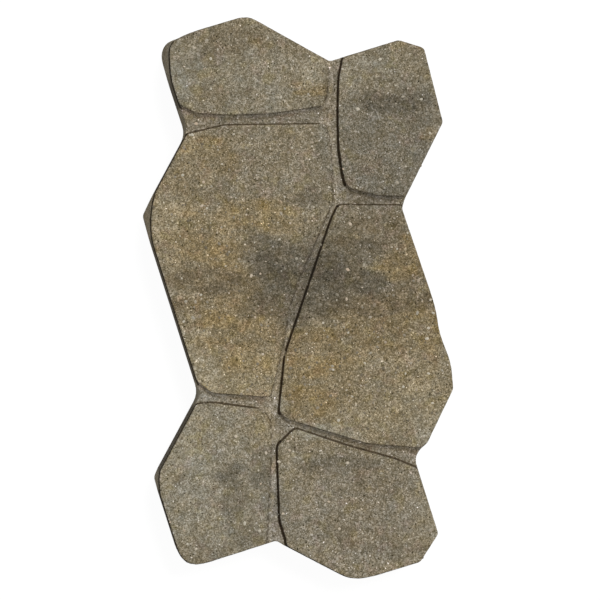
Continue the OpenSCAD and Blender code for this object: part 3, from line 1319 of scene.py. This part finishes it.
        angle = bench.add("GeometryNodeInputMeshEdgeAngle").outputs["Signed Angle"]
        feeds = {"Value": angle, "Iterations": self.chip_blur}
        bend = bench.add("GeometryNodeBlurAttribute", feeds, data_type="FLOAT").outputs[0]
        swell = bench.swing(bench.noise(place, self.swells).outputs[0], given["Swell"])
        rough = bench.swing(bench.noise(place, self.roughs).outputs[0], given["Roughness"])
        chips = bench.ramp(bench.noise(place, self.chips).outputs[0], *self.chip_edge)
        chips = bench.math("MULTIPLY", chips, bench.ramp(bend, *self.chip_bend))
        chips = bench.math("MULTIPLY", chips, given["Chip"])
        height = bench.math("SUBTRACT", bench.math("ADD", swell, rough), chips)
        level = bench.add("ShaderNodeSeparateXYZ", {0: place}).outputs[2]
        height = bench.math("MULTIPLY", height, bench.ramp(level, 0.0, given["Foot"]))
        share = bench.ramp(distances[Mark.WEST_RIM], given["Lean Reach"], given["Lean Full"])
        lean = bench.math("MULTIPLY", bench.math("DIVIDE", level, given["Top"]), given["Lean"])
        outward = bench.scaled(self.WEST, bench.math("MULTIPLY", lean, share))
        feeds = {"Geometry": marked, "Offset": bench.vector("ADD", bench.scaled(normal, height), outward)}
        moved = bench.add("GeometryNodeSetPosition", feeds).outputs[0]
        realized = bench.add("GeometryNodeRealizeInstances", {0: moved}).outputs[0]
        feeds = {"Geometry": realized, "Material": given["Material"]}
        dressed = bench.add("GeometryNodeSetMaterial", feeds)
        bench.feed(out["Stone"], dressed.outputs[0])
        return bench.tree

    def build(self, solid_object: bpy.types.Object) -> bpy.types.Object:
        """Makes the stone.

        Args:
            solid_object: The CAD node's object, which stays as it is.

        Returns:
            The finished piece.
        """
        low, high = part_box(NODE)
        solid = solid_object.data.copy()
        form = bmesh.new()
        form.from_mesh(solid)
        bmesh.ops.remove_doubles(form, verts=form.verts[:], dist=NEARNESS)
        flat_angle = math.radians(self.net.flat_angle)
        bmesh.ops.dissolve_limit(form, angle_limit=flat_angle, verts=form.verts[:], edges=form.edges[:])
        bed = min(vertex.co.z for vertex in form.verts if vertex.co.z > self.EVEN * MM)
        form.to_mesh(solid)
        form.free()
        lines = self.lines(solid)
        stone = add_object("stone", self.net.build(solid, bed))
        sizes = (self.swell, self.rough, self.chip, self.foot, self.lean, self.lean_reach, self.lean_full)
        values = {
            **{mark.value: line for mark, line in lines.items()},
            **dict(zip(self.SIZES, (*(size * MM for size in sizes), high.z))),
            "Material": self.finish.material(low, high),
        }
        run_nodes(stone, self.relief_tree(), values)
        stone.data.set_sharp_from_angle(angle=math.radians(self.sharp_angle))
        for line in lines.values():
            drop_object(line)
        bpy.data.meshes.remove(solid)
        return stone


@dataclass(frozen=True)
class GrainFinish:
    """Bare grains of stone.

    Attributes:
        dark: Colour of the dark ones.
        pale: Colour of the pale ones.
        rosy: Colour of the rosy ones.
        rarity: How rare those are that are not dark.
        rosy_rarity: How rare the rosy ones are among them.
        roughness: How dull they are.
        gloss: How much they mirror.
    """

    dark: Colour = (0.140, 0.116, 0.076)
    pale: Colour = (0.70, 0.65, 0.53)
    rosy: Colour = (0.52, 0.41, 0.30)
    rarity: float = 3.2
    rosy_rarity: float = 2.0
    roughness: float = 0.8
    gloss: float = 0.3

    HUE_STEPS = 7.0

    def material(self) -> bpy.types.Material:
        """Makes the grains' material.

        Returns:
            The material.
        """
        material, bench, shader = new_material("bare_grain", self.roughness, self.gloss)
        tone = bench.add("ShaderNodeAttribute", attribute_name=GRAIN_TONE).outputs["Fac"]
        hue = bench.math("FRACT", bench.math("MULTIPLY", tone, self.HUE_STEPS))
        colour = bench.blend(bench.math("POWER", hue, self.rosy_rarity), rgba(self.pale), rgba(self.rosy))
        colour = bench.blend(bench.math("POWER", tone, self.rarity), rgba(self.dark), colour)
        bench.feed(shader.inputs["Base Color"], colour)
        return material


@dataclass
class ExposedAggregate:
    """Grains of aggregate that lie bare in the stone's top.

    Attributes:
        finish: What they look like.
        density: How many there are to a square metre.
        apart: Smallest distance between two, in millimetres.
        small: Half the width of the smallest, in millimetres.
        large: Half the width of the largest, in millimetres.
        rarity: How rare the large ones are.
        narrowest: Width of the narrowest, as a share of its length.
        flatness: Their height, as a share of their width.
        sunk: How deep their middles lie, as a share of their height.
        ragged: How far their corners stray, in millimetres.
        rags: The swells that move the corners.
        seed: Start of the random numbers.
    """

    finish: GrainFinish
    density: float = 34000.0
    apart: float = 2.6
    small: float = 0.45
    large: float = 1.9
    rarity: float = 4.0
    narrowest: float = 0.6
    flatness: float = 0.5
    sunk: float = 0.35
    ragged: float = 0.5
    rags: Swells = Swells(1.0)
    seed: int = 11

    LEVEL = 0.86
    SIZES = ("Density", "Apart", "Small", "Large", "Rarity", "Narrowest", "Flatness", "Sunk", "Ragged")

    def scatter_tree(self) -> bpy.types.NodeTree:
        """Builds the tree that lays grains on the stone's top.

        Returns:
            The geometry node tree.
        """
        bench, given, out = new_group(
            "GeometryNodeTree",
            "bare grains",
            {
                "Stone": "NodeSocketGeometry",
                **{name: "NodeSocketFloat" for name in self.SIZES},
                "Seed": "NodeSocketInt",
                "Material": "NodeSocketMaterial",
            },
            {"Grains": "NodeSocketGeometry"},
        )
        normal = bench.add("GeometryNodeInputNormal").outputs[0]
        upward = bench.add("ShaderNodeSeparateXYZ", {0: normal}).outputs[2]
        feeds = {
            "Mesh": given["Stone"],
            "Selection": bench.math("GREATER_THAN", upward, self.LEVEL),
            "Distance Min": given["Apart"],
            "Density Max": given["Density"],
            "Seed": given["Seed"],
        }
        scatter = bench.add("GeometryNodeDistributePointsOnFaces", feeds, distribute_method="POISSON")
        size = bench.math("POWER", self.chance(bench, given["Seed"], 1), given["Rarity"])
        growth = bench.math("SUBTRACT", given["Large"], given["Small"])
        size = bench.math("MULTIPLY_ADD", size, growth, given["Small"])
        height = bench.math("MULTIPLY", size, given["Flatness"])
        depth = bench.math("MULTIPLY", bench.math("MULTIPLY", height, given["Sunk"]), -1.0)
        offset = bench.add("ShaderNodeCombineXYZ", {2: depth}).outputs[0]
        feeds = {"Geometry": scatter.outputs["Points"], "Offset": offset}
        points = bench.add("GeometryNodeSetPosition", feeds).outputs[0]
        width = bench.math("ADD", self.chance(bench, given["Seed"], 2), given["Narrowest"])
        width = bench.math("MULTIPLY", size, width)
        scale = bench.add("ShaderNodeCombineXYZ", {0: width, 1: size, 2: height}).outputs[0]
        turn = bench.math("MULTIPLY", self.chance(bench, given["Seed"], 3), math.tau)
        turn = bench.add("ShaderNodeCombineXYZ", {2: turn}).outputs[0]
        turn = bench.add("FunctionNodeEulerToRotation", {0: turn}).outputs[0]
        grain = bench.add("GeometryNodeMeshIcoSphere", {"Radius": 1.0, "Subdivisions": 1}).outputs["Mesh"]
        feeds = {"Points": points, "Instance": grain, "Rotation": turn, "Scale": scale}
        grains = bench.add("GeometryNodeInstanceOnPoints", feeds).outputs["Instances"]
        feeds = {"Geometry": grains, "Name": GRAIN_TONE, "Value": self.chance(bench, given["Seed"], 4)}
        grains = bench.add("GeometryNodeStoreNamedAttribute", feeds, domain="INSTANCE").outputs["Geometry"]
        grains = bench.add("GeometryNodeRealizeInstances", {0: grains}).outputs[0]
        place = bench.add("GeometryNodeInputPosition").outputs[0]
        stray = bench.centred(bench.noise(place, self.rags).outputs["Color"])
        stray = bench.scaled(stray, given["Ragged"])
        grains = bench.add("GeometryNodeSetPosition", {"Geometry": grains, "Offset": stray}).outputs[0]
        feeds = {"Geometry": grains, "Material": given["Material"]}
        bench.feed(out["Grains"], bench.add("GeometryNodeSetMaterial", feeds).outputs[0])
        return bench.tree

    @staticmethod
    def chance(bench: Bench, seed: Socket, step: int) -> Socket:
        """Draws a random number between 0 and 1 for each grain.

        Args:
            bench: The tree's bench.
            seed: The tree's seed.
            step: What sets this number apart from the others.

        Returns:
            The number's socket.
        """
        node = bench.add("FunctionNodeRandomValue", data_type="FLOAT")
        bench.feed(node.inputs["Seed"], bench.math("ADD", seed, step))
        return node.outputs["Value"]

    def build(self, stone: bpy.types.Object) -> bpy.types.Object:
        """Lays the grains.

        Args:
            stone: The finished stone.

        Returns:
            The finished piece.
        """
        grains = add_object("grains", stone.data.copy())
        values = {
            "Density": self.density,
            "Apart": self.apart * MM,
            "Small": self.small * MM,
            "Large": self.large * MM,
            "Rarity": self.rarity,
            "Narrowest": self.narrowest,
            "Flatness": self.flatness,
            "Sunk": self.sunk,
            "Ragged": self.ragged * MM,
            "Seed": self.seed,
            "Material": self.finish.material(),
        }
        run_nodes(grains, self.scatter_tree(), values)
        return grains


@dataclass
class Studio:
    """Camera, lamps and floor.

    Attributes:
        aim: The point that the camera looks at, in millimetres.
        distance: How far off the camera is, in millimetres.
        tilt: How far the camera leans west from straight above, in degrees.
        lens: Its focal length in millimetres.
        key_strength: The key lamp's strength.
        key_azimuth: Where the key lamp stands, in degrees north of east.
        key_height: How high the key lamp stands, in degrees.
        key_softness: How wide the key lamp looks from the stone, in degrees.
        fill: The sky's radiance.
        floor_white: How bright the floor looks where no shadow falls.
        floor_glow: How much of that does not depend on the lamps.
        floor_bounce: How much light the floor throws back at the stone.
        floor_half: Half the floor's width, in metres.
    """

    aim: tuple[float, float, float] = (-0.68, -1.58, 60.0)
    distance: float = 3104.0
    tilt: float = 5.8
    lens: float = 180.0
    key_strength: float = 2.2
    key_azimuth: float = 55.0
    key_height: float = 62.0
    key_softness: float = 24.0
    fill: float = 0.36
    floor_white: float = 1.05
    floor_glow: float = 0.95
    floor_bounce: float = 0.5
    floor_half: float = 40.0

    WHITE = (1.0, 1.0, 1.0)

    def camera(self) -> None:
        """Places the camera above the stone."""
        data = bpy.data.cameras.new("camera")
        data.lens = self.lens
        data.clip_end = self.floor_half
        camera = bpy.data.objects.new("camera", data)
        lean = math.radians(self.tilt)
        back = Vector((-math.sin(lean), 0.0, math.cos(lean)))
        camera.location = (Vector(self.aim) + back * self.distance) * MM
        camera.rotation_euler = (0.0, -lean, 0.0)
        bpy.context.scene.collection.objects.link(camera)
        bpy.context.scene.camera = camera

    def lamps(self) -> None:
        """Adds the key lamp and the sky."""
        data = bpy.data.lights.new("key", "SUN")
        data.energy = self.key_strength
        data.angle = math.radians(self.key_softness)
        key = bpy.data.objects.new("key", data)
        azimuth, height = math.radians(self.key_azimuth), math.radians(self.key_height)
        level = Vector((math.cos(azimuth), math.sin(azimuth), 0.0)) * math.cos(height)
        towards = level + Vector((0.0, 0.0, math.sin(height)))
        key.rotation_euler = towards.to_track_quat("Z", "Y").to_euler()
        bpy.context.scene.collection.objects.link(key)
        world = bpy.data.worlds.new("sky")
        world.use_nodes = True
        bench = Bench(world.node_tree)
        sky = world.node_tree.nodes["Background"]
        seen = self.seen(bench)
        bench.feed(sky.inputs["Strength"], bench.ramp(seen, 0.0, 1.0, self.fill, 1.0))
        sky.inputs["Color"].default_value = rgba(self.WHITE)
        bpy.context.scene.world = world

    @staticmethod
    def seen(bench: Bench) -> Socket:
        """Tells rays that show the background from rays that light the stone.

        Args:
            bench: The material's or world's bench.

        Returns:
            A socket that is 1 for a ray that shows the background.
        """
        path = bench.add("ShaderNodeLightPath")
        seen = bench.math("MAXIMUM", path.outputs["Is Camera Ray"], path.outputs["Is Glossy Ray"])
        return bench.math("MAXIMUM", seen, path.outputs["Is Transmission Ray"])

    def floor(self) -> None:
        """Lays the pale floor, which keeps the stone's shadow."""
        half = self.floor_half
        mesh = bpy.data.meshes.new("floor")
        corners = [(-half, -half, 0.0), (half, -half, 0.0), (half, half, 0.0), (-half, half, 0.0)]
        mesh.from_pydata(corners, [], [(0, 1, 2, 3)])
        floor = add_object("floor", mesh)
        material, bench, shader = new_material("pale_floor", 1.0, 0.0)
        seen = self.seen(bench)
        shown = self.floor_white - self.floor_glow
        colour = bench.blend(seen, rgba((self.floor_bounce,) * 3), rgba((shown,) * 3))
        bench.feed(shader.inputs["Base Color"], colour)
        shader.inputs["Emission Color"].default_value = rgba(self.WHITE)
        bench.feed(shader.inputs["Emission Strength"], bench.math("MULTIPLY", seen, self.floor_glow))
        mesh.materials.append(material)

    def build(self) -> None:
        """Sets up the whole studio."""
        self.camera()
        self.lamps()
        self.floor()
        bpy.context.scene.view_settings.view_transform = "Standard"


def main() -> None:
    """Builds the pieces in order and logs their triangle counts."""
    logging.basicConfig(level=logging.INFO)
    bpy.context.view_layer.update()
    Studio().build()
    stone = PressedStone(ConcreteFinish(), SurfaceNet()).build(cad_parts[NODE])
    grains = ExposedAggregate(GrainFinish()).build(stone)
    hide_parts(NODE)
    for piece in (stone, grains):
        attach(piece, BODY)
        piece.data.calc_loop_triangles()
        LOG.info("%s has %d triangles", piece.name, len(piece.data.loop_triangles))


if __name__ == "__main__":
    main()
